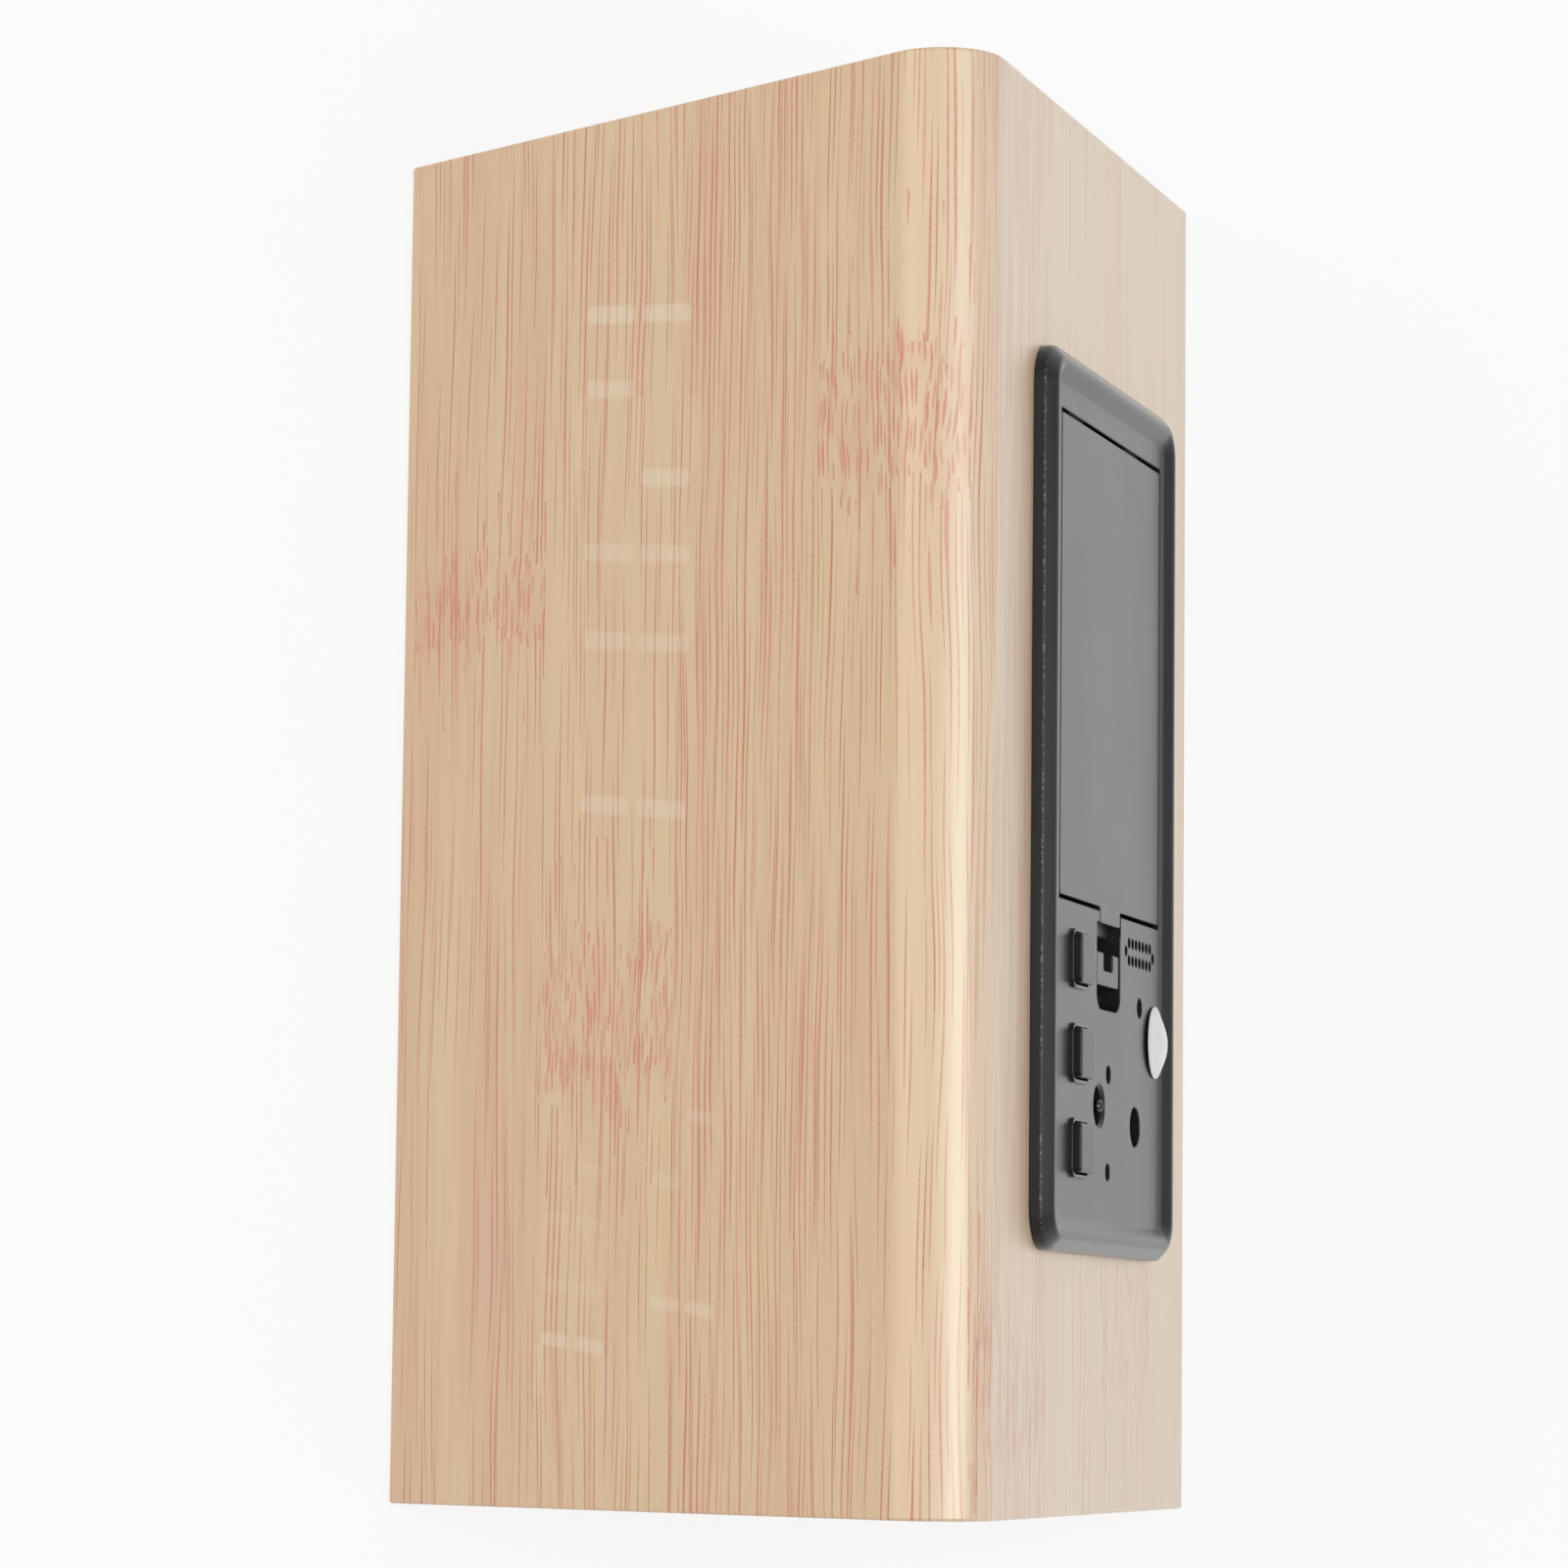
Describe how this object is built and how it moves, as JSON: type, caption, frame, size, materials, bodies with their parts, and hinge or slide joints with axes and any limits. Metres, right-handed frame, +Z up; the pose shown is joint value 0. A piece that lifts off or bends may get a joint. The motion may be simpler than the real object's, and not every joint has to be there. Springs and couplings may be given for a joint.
{
  "type": "digital alarm clock",
  "caption": "Triangular wood-effect digital clock with light digits behind its front film and a black back panel with buttons, power inlet and a latched battery cover.",
  "frame": {"origin": "middle of the base's underside, on the surface that the clock stands on", "axes": "+X along the ridge, to the right as the display is read; +Z up; the display looks toward -Y and the back panel toward +Y"},
  "size_m": [0.15, 0.0908, 0.0729],
  "materials": {
    "wood_film": "printed bamboo film, satin",
    "fibreboard": "raw fibreboard",
    "black_plastic": "fine-textured satin moulding",
    "dark_plastic": "moulded",
    "white_plastic": "moulded",
    "milky_plastic": "milky sheet",
    "nickel": "nickel plated",
    "steel": "zinc plated",
    "cell_jacket": "plain printed sleeve",
    "circuit_board": "green solder mask",
    "ribbon": "grey ribbon cable"
  },
  "bodies": {
    "case": {"wood_wrap": "wood_film", "front_board": "fibreboard", "back_board": "fibreboard", "base_board": "wood_film", "left_end_cap": "wood_film", "right_end_cap": "wood_film", "back_panel": "black_plastic", "set_switch": "dark_plastic", "up_switch": "dark_plastic", "down_switch": "dark_plastic", "reset_switch": "dark_plastic", "battery_1": "cell_jacket", "battery_2": "cell_jacket", "battery_3": "cell_jacket", "battery_4": "cell_jacket", "battery_spring_1": "nickel", "battery_spring_2": "nickel", "battery_spring_3": "nickel", "battery_spring_4": "nickel", "contact_positive": "nickel", "contact_negative": "nickel", "contact_bridge_1": "nickel", "contact_bridge_2": "nickel", "contact_bridge_3": "nickel", "main_board": "circuit_board", "clock_chip": "dark_plastic", "quartz_crystal": "nickel", "dc_jack": "dark_plastic", "dc_jack_pin": "nickel", "buzzer": "dark_plastic", "microphone": "steel", "humidity_sensor": "white_plastic", "display_board": "circuit_board", "digit_block": "white_plastic", "light_diffuser": "milky_plastic", "ribbon_cable": "ribbon", "display_screw_1": "steel", "display_screw_2": "steel", "display_screw_3": "steel", "display_screw_4": "steel", "board_screw_1": "steel", "board_screw_2": "steel", "panel_screw": "steel"},
    "set_key": {"set_button": "black_plastic", "set_plunger": "nickel"},
    "up_key": {"up_button": "black_plastic", "up_plunger": "nickel"},
    "down_key": {"down_button": "black_plastic", "down_plunger": "nickel"},
    "reset_key": {"reset_plunger": "white_plastic"},
    "cover": {"battery_cover": "black_plastic"},
    "latch": {"cover_latch": "black_plastic"}
  },
  "joints": [
    {"name": "set_press", "type": "slide", "parent": "case", "child": "set_key", "axis": [0, -0.866, -0.5], "range_m": [0, 0.0005], "stiffness_N_per_m": 200, "springref_m": -0.0005},
    {"name": "up_press", "type": "slide", "parent": "case", "child": "up_key", "axis": [0, -0.866, -0.5], "range_m": [0, 0.0005], "stiffness_N_per_m": 200, "springref_m": -0.0005},
    {"name": "down_press", "type": "slide", "parent": "case", "child": "down_key", "axis": [0, -0.866, -0.5], "range_m": [0, 0.0005], "stiffness_N_per_m": 200, "springref_m": -0.0005},
    {"name": "reset_press", "type": "slide", "parent": "case", "child": "reset_key", "axis": [0, -0.866, -0.5], "range_m": [0, 0.0003], "stiffness_N_per_m": 200, "springref_m": -0.0005},
    {"name": "cover_swing", "type": "hinge", "parent": "case", "child": "cover", "pos_m": [-0.0412, 0.02661, 0.03612], "axis": [0, -0.5, 0.866], "range_deg": [0, 70]},
    {"name": "latch_flex", "type": "hinge", "parent": "cover", "child": "latch", "pos_m": [0.0179, 0.02298, 0.03402], "axis": [0, -0.5, 0.866], "range_deg": [0, 10], "stiffness_Nm_per_rad": 0.02, "springref_deg": -2.86}
  ]
}
